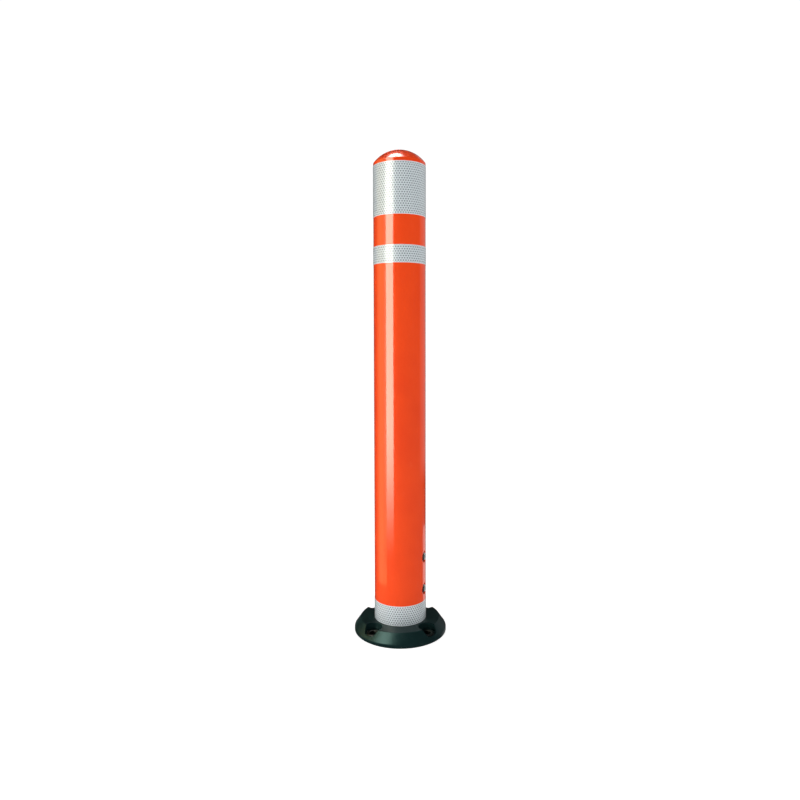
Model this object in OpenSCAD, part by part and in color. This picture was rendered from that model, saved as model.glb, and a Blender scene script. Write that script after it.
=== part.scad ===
// Spring-return delineator post: a round rubber base, an orange tube with three reflective bands,
// and a spring and wire rope inside the tube that pull it upright again after it is knocked over.
// Z is up, and the origin is the centre of the base's underside. The front of the post faces -Y.

/* [Overall] */
// Height from the ground to the top of the dome
overall_h = 740; // [650:5:1000]

/* [Base] */
// Diameter of the base at the ground
base_d = 143; // [140:1:160]
// Height of the base's flat top ring, which the post stands on
base_h = 19.5; // [18:0.5:24]
// Outside diameter of the flat top ring
ring_d = 123; // [120:1:128]
// Height of the upright edge below the slope
edge_h = 5.5; // [3:0.5:7]
// Circle that the four anchor holes lie on
anchor_pcd = 114; // [112:1:118]
// Clear hole for an anchor bolt
anchor_hole_d = 12; // [10:0.5:12]
// Diameter of the pocket round an anchor bolt's head
pocket_d = 27; // [25:0.5:28]
// Height of the pocket's floor above the ground
pocket_floor_z = 9; // [8:0.5:11]

/* [Tube] */
// Outside diameter of the tube
tube_d = 80; // [78:1:82]
// Wall thickness of the tube
tube_wall = 5; // [4.5:0.5:5]
// Radius of the cap's dome
dome_r = 50; // [44:1:70]
// Height of the cap's upright lip
lip_h = 2; // [1:0.5:4]
// Depth that the cap's plug reaches into the tube
plug_h = 18; // [10:1:30]

/* [Reflective bands] */
// Thickness of the reflective sheet
sheet_t = 0.5; // [0.4:0.1:0.6]
// Height of the upper band's lower edge
upper_band_z = 638; // [450:1:638]
// Width of the upper band
upper_band_w = 77; // [50:1:77]
// Height of the middle band's lower edge
middle_band_z = 567; // [300:1:600]
// Width of the middle band
middle_band_w = 26.5; // [15:0.5:30]
// Width of the band at the foot
foot_band_w = 30; // [15:0.5:32]

/* [Side screws] */
// Height of the lower row of side screws
lower_screw_z = 68; // [66:1:72]
// Height of the upper row of side screws
upper_screw_z = 118; // [114:1:126]
// Direction of the first column of side screws, from +X
screw_turn = -20; // [-30:1:30]
// Diameter of the sunk seat in the tube
seat_d = 17; // [16.5:0.1:18]
// Depth of the sunk seat
seat_depth = 3; // [2.5:0.1:3]
// Diameter of the pan head
head_d = 13; // [11:0.5:14]
// Height of the pan head
head_h = 2.9; // [2.5:0.1:4]
// Diameter of the screw's shank
shank_d = 6; // [5:0.5:6]

/* [Spring and rope] */
// Diameter of the wire rope
rope_d = 6; // [5:0.5:6]
// Bore of the carrier that the spring works in
carrier_bore = 50; // [49:0.5:51]
// Outside diameter of the spring
spring_d = 44; // [42:0.5:45]
// Diameter of the spring's wire
wire_d = 5; // [4:0.25:5]
// Turns of the spring, closed ends included
spring_turns = 9; // [7:1:9]
// Fitted length of the spring
spring_len = 108; // [104:1:110]

/* [Hidden] */
$fn = 96;
fit = 0.05;             // radial clearance of parts that are pressed, glued or screwed together
loose = 0.2;            // clearance of parts that drop into place
gap = 0.3;              // clearance between parts that move apart
rope_grip = 0.02;       // clearance of the sleeves swaged on the rope
rope_gap = 0.4;         // clearance of the holes that the rope slides in
base_r = base_d / 2;
ring_r = ring_d / 2;
tube_r = tube_d / 2;
bore_r = tube_r - tube_wall;
anchor_r = anchor_pcd / 2;
bush_r = anchor_hole_d / 2 + 2;
flange_r = bush_r + 3;
flange_t = 1.5;
rim = 0.8;              // easing of the base's rims
// Outline of the rubber base, from the axis out: upright edge, slope and eased top ring
base_outline = [
    [0, 0], [base_r - rim, 0], [base_r, rim], [base_r, edge_h - rim], [base_r - rim / 2, edge_h],
    [ring_r + rim, base_h - 1.5 * rim], [ring_r, base_h - rim / 2], [ring_r - rim, base_h], [0, base_h]
];

plate_z = 2;            // underside of the anchor plate, clear of the ground
plate_t = 6;
plate_r = 32;
hub_r = 13;
hub_z = 16;             // top of the plate's hub
end_z = 10;             // shoulder in the hub that the rope's end sleeve pulls against
end_r = 6.2;
sleeve_z = plate_z + 0.2;       // lower end of the rope's end sleeve
rope_z = plate_z + 0.4;         // lower end of the rope
plate_screw_r = 3;
plate_screw_circle = 23;
plate_screw_z = plate_z + 0.1;  // face of the countersunk head
plate_screw_top = base_h + 5;
plate_head_r = 2 * plate_screw_r;
plate_head_h = 3;
plate_slot_w = 1.2;
plate_slot_depth = 1.8;
tip_room = 0.5;         // room beyond the tip of a screw
boss_h = 7;
boss_foot_r = bore_r - 0.5;
boss_top_r = bore_r - 4.5;
boss_bore_r = rope_d / 2 + 1.5;
boss_mouth_r = rope_d / 2 + 6;
boss_mouth_h = boss_h - 2;

foot_z = base_h + gap;
lip_z = overall_h - (dome_r - sqrt(dome_r * dome_r - tube_r * tube_r)) - lip_h;
dome_z = overall_h - dome_r;
plug_wall = 4;
dome_wall = 3.5;
foot_band_z = foot_z + 0.1;

carrier_z = base_h + 8.5;
carrier_floor = 8;
carrier_top = 160;
foot_flange_h = carrier_floor + 4;
top_flange_h = 10;
sleeve_r = carrier_bore / 2 + 3.5;
screw_flange_h = 20;
insert_r = 5;
insert_in = 27;         // inner end of a threaded insert, from the post's axis
insert_out = bore_r - 0.6;
washer_t = 1;
washer_r = head_d / 2 + 0.5;
head_seat = tube_r - seat_depth + washer_t;
head_edge_h = 0.45 * head_h;
head_flat_r = head_d / 4;
head_slot_len = 0.55 * head_d;
head_slot_w = 1.6;
head_slot_depth = 1.9;
screw_tip = insert_in + 1;
screw_hole_r = shank_d / 2 + 0.5;
screw_rows = [lower_screw_z, upper_screw_z];
// Outline of a pan head, from its axis out: upright edge, quarter ellipse and flat top
head_outline = concat(
    [[0, 0], [head_d / 2, 0]],
    [for (a = [0:30:90])
        [head_flat_r + (head_d / 2 - head_flat_r) * cos(a), head_edge_h + (head_h - head_edge_h) * sin(a)]],
    [[0, head_h]]
);

seat_z = carrier_z + carrier_floor;
seat_t = 2;
seat_bore_r = rope_d / 2 + 3;
guide_z = carrier_z + loose;    // lower face of the rope guide
guide_r = 8;
rope_bore_r = rope_d / 2 + rope_gap;
bell_r = 4.5;                   // radius of the guide's bell mouth
// Outline of the rope guide, with its mouth as a quarter circle from the face to the bore
guide_outline = concat(
    [[guide_r - fit, guide_z]],
    [for (a = [0:15:90]) [rope_bore_r + bell_r * (1 - sin(a)), guide_z + bell_r * (1 - cos(a))]],
    [[rope_bore_r, seat_z], [guide_r - fit, seat_z]]
);
spring_z = seat_z + seat_t;
coil_r = (spring_d - wire_d) / 2;
end_pitch = 0.96 * wire_d;      // rise of a closed end turn, a little less than the wire is thick
retainer_z = spring_z + spring_len;
retainer_t = 8;
spigot_r = coil_r - wire_d / 2 - 0.8;
spigot_h = 8;
stop_z = retainer_z + retainer_t;
stop_washer_r = 11;
stop_washer_t = 2;
stop_r = 7;
stop_h = 20;
stop_top = stop_z + stop_washer_t + stop_h;
tail_len = 8;           // rope left standing above its sleeve
rope_split_z = 80;      // the rope is two nodes that meet here, one of them moving with the retainer

// ---- shared shapes

// A tube or ring standing from z0 to z1
module ring(outer, inner, z0, z1) {
    difference() {
        translate([0, 0, z0]) cylinder(r = outer, h = z1 - z0);
        translate([0, 0, z0 - 1]) cylinder(r = inner, h = z1 - z0 + 2);
    }
}

// Places its children at anchor hole i, on the diagonals
module at_anchor(i) {
    rotate([0, 0, 90 * i - 45]) translate([anchor_r, 0, 0]) children();
}

// Places its children at plate screw i
module at_plate_screw(i) {
    rotate([0, 0, 120 * i - 30]) translate([plate_screw_circle, 0, 0]) children();
}

// Places its children at side screw i, with their Z pointing straight out of the post
module at_side_screw(i) {
    side = (i - 1) % 2;
    row = floor((i - 1) / 2);
    rotate([0, 0, screw_turn + 180 * side])
        translate([0, 0, screw_rows[row]]) rotate([0, 90, 0]) children();
}

// Two crossed slots that sink to the given depth below z
module cross_recess(z, length, width, depth) {
    for (turn = [0, 90])
        rotate([0, 0, turn + 45]) translate([-length / 2, -width / 2, z - depth])
            cube([length, width, depth + 1]);
}

// ---- base

module base_body() {
    color("#1f2f2e") difference() {
        rotate_extrude() polygon(base_outline);
        translate([0, 0, -1]) cylinder(r = plate_r + loose, h = plate_z + plate_t + 1);
        cylinder(r = hub_r + fit, h = base_h + 1);
        for (i = [1:3])
            at_plate_screw(i) cylinder(r = plate_screw_r + loose, h = base_h + 1);
        for (i = [1:4]) at_anchor(i) {
            translate([0, 0, pocket_floor_z]) cylinder(d = pocket_d, h = base_h);
            translate([0, 0, -1]) cylinder(r = bush_r, h = base_h);
        }
    }
}

// Flanged steel sleeve that takes an anchor bolt's clamping load
module anchor_bush(i) {
    color("#3c4040") at_anchor(i) {
        ring(bush_r - fit, anchor_hole_d / 2, 0, pocket_floor_z);
        ring(flange_r, anchor_hole_d / 2, pocket_floor_z, pocket_floor_z + flange_t);
    }
}

// Steel plate let into the underside, with a hub that holds the rope's end sleeve
module anchor_plate() {
    color("slategray") difference() {
        union() {
            translate([0, 0, plate_z]) cylinder(r = plate_r, h = plate_t);
            translate([0, 0, plate_z]) cylinder(r = hub_r, h = hub_z - plate_z);
        }
        cylinder(r = end_r + loose, h = end_z);
        cylinder(r = rope_d / 2 + gap, h = hub_z + 1);
        for (i = [1:3]) at_plate_screw(i) {
            cylinder(r = plate_screw_r + loose, h = base_h);
            translate([0, 0, plate_z - 0.01])
                cylinder(r1 = plate_head_r + gap, r2 = plate_screw_r + loose, h = plate_head_h + 0.1);
        }
    }
}

// Countersunk screw, driven from below into the centring boss
module plate_screw(i) {
    color("silver") at_plate_screw(i) difference() {
        union() {
            translate([0, 0, plate_screw_z])
                cylinder(r1 = plate_head_r, r2 = plate_screw_r, h = plate_head_h);
            translate([0, 0, plate_z + plate_head_h])
                cylinder(r = plate_screw_r, h = plate_screw_top - plate_z - plate_head_h);
        }
        mirror([0, 0, 1]) cross_recess(-plate_screw_z, plate_head_r, plate_slot_w, plate_slot_depth);
    }
}

// Low cone that centres the foot of the tube and drops clear of it as the post tips
module centring_boss() {
    color("gainsboro") difference() {
        union() {
            translate([0, 0, base_h]) cylinder(r1 = boss_foot_r, r2 = boss_top_r, h = boss_h);
            translate([0, 0, hub_z]) cylinder(r = hub_r - fit, h = base_h - hub_z + 1);
        }
        cylinder(r = boss_bore_r, h = base_h + boss_h + 1);
        translate([0, 0, base_h + boss_h - boss_mouth_h])
            cylinder(r1 = boss_bore_r, r2 = boss_mouth_r, h = boss_mouth_h + 0.01);
        for (i = [1:3])
            at_plate_screw(i) cylinder(r = plate_screw_r + fit, h = plate_screw_top + tip_room);
    }
}

// Sleeve swaged on the lower end of the rope
module rope_end() {
    color("silver") ring(end_r, rope_d / 2 + rope_grip, sleeve_z, end_z);
}

// Lower stretch of the rope, from the anchor plate up into the spring
module wire_rope() {
    color("darkgray") translate([0, 0, rope_z]) cylinder(d = rope_d, h = rope_split_z - rope_z);
}

// ---- post

module post_tube() {
    color("#e85b25") difference() {
        ring(tube_r, bore_r, foot_z, lip_z);
        for (i = [1:4]) at_side_screw(i) {
            cylinder(r = screw_hole_r, h = tube_r + 1);
            translate([0, 0, tube_r - seat_depth]) cylinder(d = seat_d, h = seat_depth + 1);
        }
    }
}

// Domed cap with a plug that is glued into the tube
module top_cap() {
    color("#e85b25") difference() {
        union() {
            intersection() {
                translate([0, 0, dome_z]) sphere(r = dome_r);
                translate([0, 0, lip_z]) cylinder(r = tube_r, h = overall_h - lip_z + 1);
            }
            translate([0, 0, lip_z - plug_h]) cylinder(r = bore_r - fit, h = plug_h + 1);
        }
        intersection() {
            translate([0, 0, dome_z]) sphere(r = dome_r - dome_wall);
            translate([0, 0, lip_z - plug_h - 1]) cylinder(r = bore_r - plug_wall, h = overall_h);
        }
    }
}

// One wrapped band of reflective sheet
module band(z, width) {
    color("gainsboro") ring(tube_r + sheet_t, tube_r, z, z + width);
}

module upper_band() {
    band(upper_band_z, upper_band_w);
}

module middle_band() {
    band(middle_band_z, middle_band_w);
}

module foot_band() {
    band(foot_band_z, foot_band_w);
}

// Flanged housing that the side screws hold inside the tube
module spring_carrier() {
    color("#3b3f44") difference() {
        union() {
            translate([0, 0, carrier_z]) cylinder(r = sleeve_r, h = carrier_top - carrier_z);
            translate([0, 0, carrier_z]) cylinder(r = bore_r - fit, h = foot_flange_h);
            translate([0, 0, carrier_top - top_flange_h]) cylinder(r = bore_r - fit, h = top_flange_h);
            for (z = screw_rows)
                translate([0, 0, z - screw_flange_h / 2]) cylinder(r = bore_r - fit, h = screw_flange_h);
        }
        translate([0, 0, seat_z]) cylinder(d = carrier_bore, h = carrier_top);
        cylinder(r = guide_r, h = carrier_top);
        for (i = [1:4])
            at_side_screw(i) translate([0, 0, insert_in]) cylinder(r = insert_r + fit, h = tube_r);
    }
}

// Threaded brass insert for one side screw
module threaded_insert(i) {
    color("goldenrod") at_side_screw(i) ring(insert_r, shank_d / 2 + fit, insert_in, insert_out);
}

// Flat washer in the sunk seat
module side_washer(i) {
    color("silver") at_side_screw(i)
        ring(washer_r, shank_d / 2 + loose, tube_r - seat_depth, head_seat);
}

// Pan-head screw with a cross recess
module side_screw(i) {
    color("silver") at_side_screw(i) difference() {
        union() {
            translate([0, 0, head_seat]) rotate_extrude() polygon(head_outline);
            translate([0, 0, screw_tip]) cylinder(d = shank_d, h = head_seat - screw_tip + 1);
        }
        cross_recess(head_seat + head_h, head_slot_len, head_slot_w, head_slot_depth);
    }
}

// ---- spring and rope

// Brass bush with a bell mouth, where the rope bends as the post tips
module rope_guide() {
    color("goldenrod") rotate_extrude() polygon(guide_outline);
}

// Steel washer under the spring
module spring_seat() {
    color("slategray") ring(carrier_bore / 2 - gap, seat_bore_r, seat_z, spring_z);
}

// Height of the coil's centre line at turn t: closed end turns and an even pitch between
function coil_z(t) =
    let (rise = spring_len - wire_d, pitch = (rise - 2 * end_pitch) / (spring_turns - 2))
    wire_d / 2 + (t < 1 ? end_pitch * t
        : t > spring_turns - 1 ? rise - end_pitch * (spring_turns - t)
        : end_pitch + pitch * (t - 1));

// Compression spring as one swept wire
module return_spring() {
    steps = 20;
    sides = 8;
    rings = spring_turns * steps;
    wire_r = wire_d / 2;
    points = [for (k = [0:rings], s = [0:sides - 1])
        let (turn = k / steps, a = 360 * turn, b = 360 * s / sides, r = coil_r + wire_r * cos(b))
        [r * cos(a), r * sin(a), spring_z + coil_z(turn) + wire_r * sin(b)]];
    walls = [for (k = [0:rings - 1], s = [0:sides - 1])
        let (n = (s + 1) % sides)
        [k * sides + s, k * sides + n, (k + 1) * sides + n, (k + 1) * sides + s]];
    first = [for (s = [sides - 1:-1:0]) s];
    last = [for (s = [0:sides - 1]) rings * sides + s];
    color("dimgray") polyhedron(points, concat(walls, [first, last]));
}

// Disc on top of the spring, with a spigot inside the coils
module spring_retainer() {
    color("#3b3f44") difference() {
        union() {
            translate([0, 0, retainer_z]) cylinder(r = carrier_bore / 2 - gap, h = retainer_t);
            translate([0, 0, retainer_z - spigot_h]) cylinder(r = spigot_r, h = spigot_h + 1);
        }
        cylinder(r = rope_bore_r, h = overall_h);
    }
}

module stop_washer() {
    color("silver") ring(stop_washer_r, rope_bore_r, stop_z, stop_z + stop_washer_t);
}

// Sleeve swaged on the upper end of the rope
module rope_stop() {
    color("silver") ring(stop_r, rope_d / 2 + rope_grip, stop_top - stop_h, stop_top);
}

// Upper stretch of the rope, which slides with the retainer
module rope_tail() {
    color("darkgray") translate([0, 0, rope_split_z])
        cylinder(d = rope_d, h = stop_top + tail_len - rope_split_z);
}

base_body();
for (i = [1:4]) anchor_bush(i);
anchor_plate();
for (i = [1:3]) plate_screw(i);
centring_boss();
rope_end();
wire_rope();
post_tube();
top_cap();
upper_band();
middle_band();
foot_band();
spring_carrier();
for (i = [1:4]) threaded_insert(i);
for (i = [1:4]) side_washer(i);
for (i = [1:4]) side_screw(i);
rope_guide();
spring_seat();
return_spring();
spring_retainer();
stop_washer();
rope_stop();
rope_tail();
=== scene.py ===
import math

import bmesh
import bpy
from mathutils import Matrix, Vector


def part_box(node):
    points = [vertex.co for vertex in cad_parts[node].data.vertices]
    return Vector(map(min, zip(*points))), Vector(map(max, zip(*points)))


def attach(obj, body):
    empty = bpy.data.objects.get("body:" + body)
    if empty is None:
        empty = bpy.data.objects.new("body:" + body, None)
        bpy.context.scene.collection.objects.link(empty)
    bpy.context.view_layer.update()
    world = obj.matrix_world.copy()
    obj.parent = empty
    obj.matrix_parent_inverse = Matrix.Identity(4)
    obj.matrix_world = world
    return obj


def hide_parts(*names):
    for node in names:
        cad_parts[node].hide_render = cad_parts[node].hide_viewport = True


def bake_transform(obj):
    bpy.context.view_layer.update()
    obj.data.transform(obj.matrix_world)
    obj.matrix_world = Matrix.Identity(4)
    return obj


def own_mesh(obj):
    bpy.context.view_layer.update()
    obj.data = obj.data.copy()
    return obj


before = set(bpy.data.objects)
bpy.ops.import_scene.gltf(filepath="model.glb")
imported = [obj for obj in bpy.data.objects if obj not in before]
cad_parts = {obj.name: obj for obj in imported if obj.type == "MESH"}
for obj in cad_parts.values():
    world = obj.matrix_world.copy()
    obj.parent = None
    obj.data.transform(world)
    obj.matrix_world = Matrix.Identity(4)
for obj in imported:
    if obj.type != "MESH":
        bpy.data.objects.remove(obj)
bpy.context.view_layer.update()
mm = 0.001
tiny = 0.001 * mm  # anything closer than this counts as touching
print("frame loaded:", len(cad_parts), "nodes")


# camera, at the height of the post's upper half and looking very slightly down
camera = {
    "lens": 28.8,
    "sensorWidth": 36,
    "place": (0.3 * mm, -989 * mm, 450.6 * mm),
    "lookDown": 2.815,
    "roll": -0.12,
    "shiftUp": -0.0339,
    "nearest": 0.01,
    "farthest": 100,
}


def makeCamera():
    c = camera
    data = bpy.data.cameras.new("camera")
    data.lens = c["lens"]
    data.sensor_width = c["sensorWidth"]
    data.shift_y = c["shiftUp"]
    data.clip_start = c["nearest"]
    data.clip_end = c["farthest"]
    eye = linked("camera", data)
    tilt = Matrix.Rotation(math.radians(90 - c["lookDown"]), 4, "X")
    roll = Matrix.Rotation(math.radians(c["roll"]), 4, "Z")
    eye.matrix_world = Matrix.Translation(c["place"]) @ tilt @ roll
    bpy.context.scene.camera = eye


# shader building: Wire is one output socket, Graph adds nodes to a tree and Finish is one material
class Wire:
    def __init__(self, graph, socket):
        self.graph = graph
        self.socket = socket

    def __add__(self, other):
        return self.graph.maths("ADD", self, other)

    def __radd__(self, other):
        return self.graph.maths("ADD", other, self)

    def __sub__(self, other):
        return self.graph.maths("SUBTRACT", self, other)

    def __rsub__(self, other):
        return self.graph.maths("SUBTRACT", other, self)

    def __mul__(self, other):
        return self.graph.maths("MULTIPLY", self, other)

    def __rmul__(self, other):
        return self.graph.maths("MULTIPLY", other, self)


class Graph:
    def __init__(self, tree):
        self.tree = tree

    def node(self, kind, settings, sockets, out=0):
        # settings go first, because some of them decide which sockets there are
        made = self.tree.nodes.new(kind)
        for name, value in settings.items():
            setattr(made, name, value)
        for name, value in sockets.items():
            self.plug(made.inputs[name], value)
        return Wire(self, made.outputs[out])

    def plug(self, socket, value):
        if isinstance(value, Wire):
            self.tree.links.new(value.socket, socket)
        elif socket.type == "RGBA":
            socket.default_value = (*value, 1)
        else:
            socket.default_value = value

    def maths(self, operation, first, second=0.0):
        return self.node("ShaderNodeMath", {"operation": operation}, {0: first, 1: second})

    def place(self):
        return self.node("ShaderNodeTexCoord", {}, {}, "Object")

    def noise(self, size, detail=3.0, rough=0.5, stretch=None):
        spot = self.place()
        if stretch:
            spot = self.node("ShaderNodeVectorMath", {"operation": "MULTIPLY"}, {0: spot, 1: stretch})
        sockets = {"Vector": spot, "Scale": 1 / size, "Detail": detail, "Roughness": rough}
        return self.node("ShaderNodeTexNoise", {}, sockets)

    def between(self, value, low, high):
        # 0 as far as low, 1 from high on, and eased from one to the other
        sockets = {"Value": value, "From Min": low, "From Max": high}
        return self.node("ShaderNodeMapRange", {"interpolation_type": "SMOOTHSTEP"}, sockets)

    def mix(self, factor, first, second):
        # a colour Mix node takes its colours at sockets 6 and 7 and gives one at output 2
        return self.node("ShaderNodeMix", {"data_type": "RGBA"}, {0: factor, 6: first, 7: second}, 2)

    def bump(self, height, depth):
        return self.node("ShaderNodeBump", {}, {"Height": height, "Distance": depth})

    def split(self, vector):
        made = self.node("ShaderNodeSeparateXYZ", {}, {"Vector": vector})
        return [Wire(self, out) for out in made.socket.node.outputs]


class Finish(Graph):
    def __init__(self, name):
        self.material = bpy.data.materials.new(name)
        self.material.use_nodes = True
        super().__init__(self.material.node_tree)
        self.shader = self.tree.nodes["Principled BSDF"]

    def set(self, **values):
        for name, value in values.items():
            self.plug(self.shader.inputs[name.replace("_", " ")], value)
        return self


# mesh building: Skin gathers rings of points and the faces between them
class Skin:
    def __init__(self):
        self.points = []
        self.faces = []
        self.kinds = []

    def ring(self, points):
        first = len(self.points)
        self.points += [tuple(p) for p in points]
        return list(range(first, len(self.points)))

    def face(self, corners, kind=0):
        self.faces.append(tuple(corners))
        self.kinds.append(kind)

    def join(self, lower, upper, kind=0, closed=True, skip=()):
        count = len(lower)
        for k in range(count if closed else count - 1):
            if k not in skip:
                n = (k + 1) % count
                self.face((lower[k], lower[n], upper[n], upper[k]), kind)

    def joinAll(self, rings, capped=False):
        for one, other in zip(rings, rings[1:]):
            self.join(one, other)
        if capped:
            self.face(rings[0])
            self.face(rings[-1])

    def piece(self, name, looks, sharp=40):
        # looks are the finishes of kinds 0, 1, 2, and edges sharper than so many degrees stay sharp
        mesh = bpy.data.meshes.new(name)
        mesh.from_pydata(self.points, [], self.faces)
        for look in looks:
            mesh.materials.append(look.material)
        for face, kind in zip(mesh.polygons, self.kinds):
            face.material_index = kind
        work = bmesh.new()
        work.from_mesh(mesh)
        bmesh.ops.remove_doubles(work, verts=work.verts, dist=tiny)
        bmesh.ops.recalc_face_normals(work, faces=work.faces)
        work.to_mesh(mesh)
        work.free()
        return smoothed(linked(name, mesh), sharp)


def linked(name, data):
    piece = bpy.data.objects.new(name, data)
    bpy.context.collection.objects.link(piece)
    return piece


def smoothed(piece, sharp):
    piece.data.shade_smooth()
    piece.data.set_sharp_from_angle(angle=math.radians(sharp))
    return piece


def around(radius, turn):
    # a place so far from the axis, with its angle counted from +X
    return radius * math.cos(turn), radius * math.sin(turn)


def fullTurn(steps, start=0.0):
    return [start + 2 * math.pi / steps * k for k in range(steps)]


def quarterTurn(steps=4):
    # the angles of a quarter turn after its start, up to its end
    return [math.radians(90 / steps * k) for k in range(1, steps + 1)]


def eased(corners, steps=5):
    # an outline whose corners are rounded where a third number gives a radius
    outline = []
    for k, corner in enumerate(corners):
        here = Vector(corner[:2])
        if len(corner) < 3:
            outline.append(here)
            continue
        before = (Vector(corners[k - 1][:2]) - here).normalized()
        after = (Vector(corners[k + 1][:2]) - here).normalized()
        half = before.angle(after) / 2
        back = corner[2] / math.tan(half)
        middle = here + (before + after).normalized() * corner[2] / math.sin(half)
        start, end = here + before * back, here + after * back
        for j in range(steps + 1):
            spoke = (start - middle).lerp(end - middle, j / steps).normalized()
            outline.append(middle + spoke * corner[2])
    return outline


def turned(name, outline, looks, segments=96, sharp=40, place=None):
    # outline is a list of (radius, height), joined into a loop unless it starts and ends on the axis
    skin = Skin()
    rings = []
    for radius, height in outline:
        if radius < tiny:
            rings.append(skin.ring([(0, 0, height)]) * segments)
        else:
            rings.append(skin.ring([(*around(radius, t), height) for t in fullTurn(segments)]))
    tips = [len(set(ring)) == 1 for ring in rings]
    if not (tips[0] and tips[-1]):
        rings.append(rings[0])
        tips.append(tips[0])
    for k in range(len(rings) - 1):
        lower, upper = rings[k:k + 2]
        if tips[k] or tips[k + 1]:
            tip, rim = (lower, upper) if tips[k] else (upper, lower)
            for j in range(segments):
                skin.face((tip[0], rim[j], rim[(j + 1) % segments]))
        else:
            skin.join(lower, upper)
    piece = skin.piece(name, looks, sharp)
    if place:
        piece.data.transform(place)
    return piece


def settled(piece):
    # the piece's modifiers become part of its mesh
    shape = piece.evaluated_get(bpy.context.evaluated_depsgraph_get())
    mesh = bpy.data.meshes.new_from_object(shape)
    piece.modifiers.clear()
    piece.data = mesh
    return piece


def rod(radius, low, high, spot=(0, 0), segments=64):
    # a plain cylinder to cut with
    outline = [(0, low), (radius, low), (radius, high), (0, high)]
    return turned("cutter", outline, [], segments, place=Matrix.Translation((*spot, 0)))


def carved(piece, cutters):
    for cutter in cutters:
        for shade in piece.data.materials:
            cutter.data.materials.append(shade)
        cut = piece.modifiers.new("cut", "BOOLEAN")
        cut.operation = "DIFFERENCE"
        cut.solver = "MANIFOLD"
        cut.object = cutter
    settled(piece)
    for cutter in cutters:
        bpy.data.objects.remove(cutter)


def softened(piece, width, steps, angle):
    # every edge sharper than so many degrees is rounded off
    bevel = piece.modifiers.new("soft edges", "BEVEL")
    bevel.width = width
    bevel.segments = steps
    bevel.limit_method = "ANGLE"
    bevel.angle_limit = math.radians(angle)
    bevel.use_clamp_overlap = True
    smoothed(settled(piece), 40)


def showAs(piece, body, node):
    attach(piece, body)
    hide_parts(node)


# the post's glossy plastic, with fine lines along the tube and a few scuffs
plastic = {
    "orange": (0.84, 0.060, 0.0030),
    "deepOrange": (0.80, 0.052, 0.0026),
    "scuffed": (0.92, 0.16, 0.05),
    "roughness": 0.34,
    "specular": 0.22,
    "coat": 0.85,
    "coatRoughness": 0.07,
    "coatIor": 1.55,
    "relief": 0.03 * mm,
}


def orangePlastic():
    p = plastic
    f = Finish("orange plastic")
    cloud = f.between(f.noise(60 * mm, 2), 0.35, 0.7)
    drawn = f.noise(1.6 * mm, 2, stretch=(1, 1, 0.012))
    peel = f.noise(0.9 * mm, 2)
    scuff = f.between(f.noise(14 * mm, 6, 0.7, (1, 1, 0.6)), 0.60, 0.74)
    body = f.mix(cloud, p["orange"], p["deepOrange"])
    f.set(Base_Color=f.mix(scuff * 0.08, body, p["scuffed"]))
    f.set(Roughness=p["roughness"] + scuff * 0.14 + (peel - 0.5) * 0.06)
    f.set(Normal=f.bump(drawn * 0.6 + peel * 0.4, p["relief"]))
    f.set(Specular_IOR_Level=p["specular"], Coat_Weight=p["coat"])
    return f.set(Coat_Roughness=p["coatRoughness"], Coat_IOR=p["coatIor"])


# the honeycomb sheet: its cell walls, its beaded cells and their darker cores, all under one clear film
sheeting = {
    "wall": (0.68, 0.735, 0.76),
    "soiledWall": (0.58, 0.63, 0.65),
    "cell": (0.35, 0.40, 0.425),
    "brightCell": (0.46, 0.515, 0.54),
    "cloudyCell": (0.52, 0.57, 0.59),
    "core": (0.05, 0.075, 0.085),
    "brightCore": (0.11, 0.14, 0.15),
    "beads": 0.25 * mm,
    "film": 0.8,
    "filmRoughness": 0.05,
    "filmIor": 1.5,
}


def filmed(f, shade, roughness):
    s = sheeting
    f.set(Base_Color=shade, Roughness=roughness)
    return f.set(Coat_Weight=s["film"], Coat_Roughness=s["filmRoughness"], Coat_IOR=s["filmIor"])


def sheetWall():
    f = Finish("sheet cell wall")
    soil = f.between(f.noise(22 * mm, 4, 0.6), 0.45, 0.75)
    return filmed(f, f.mix(soil * 0.5, sheeting["wall"], sheeting["soiledWall"]), 0.32)


def sheetCell():
    f = Finish("sheet cell")
    beads = f.noise(sheeting["beads"], 1)
    cloud = f.noise(9 * mm, 3)
    shade = f.mix(f.between(beads, 0.3, 0.7), sheeting["cell"], sheeting["brightCell"])
    return filmed(f, f.mix(cloud * 0.35, shade, sheeting["cloudyCell"]), 0.30 + beads * 0.12)


def sheetCore():
    f = Finish("sheet cell core")
    beads = f.noise(sheeting["beads"], 1)
    shade = f.mix(f.between(beads, 0.3, 0.7), sheeting["core"], sheeting["brightCore"])
    return filmed(f, shade, 0.36 + beads * 0.1)


# the base's black rubber, faintly green in its sheen, with a moulded grain and thin dust
rubber = {
    "black": (0.0035, 0.0135, 0.0140),
    "flowMark": (0.0050, 0.0170, 0.0175),
    "dusty": (0.040, 0.058, 0.058),
    "roughness": 0.31,
    "specular": 0.29,
    "sheen": (0.55, 0.92, 0.95),
    "relief": 0.10 * mm,
}


def blackRubber():
    r = rubber
    f = Finish("black rubber")
    grain = f.noise(0.7 * mm, 3, 0.6)
    flow = f.noise(26 * mm, 3)
    dust = f.between(f.noise(7 * mm, 7, 0.72), 0.52, 0.74)
    shade = f.mix(f.between(flow, 0.3, 0.7), r["black"], r["flowMark"])
    f.set(Base_Color=f.mix(dust * 0.16, shade, r["dusty"]))
    f.set(Roughness=r["roughness"] + dust * 0.18 + (grain - 0.5) * 0.12)
    f.set(Normal=f.bump(grain * 0.7 + flow * 0.3, r["relief"]))
    return f.set(Specular_IOR_Level=r["specular"], Specular_Tint=r["sheen"])


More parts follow.
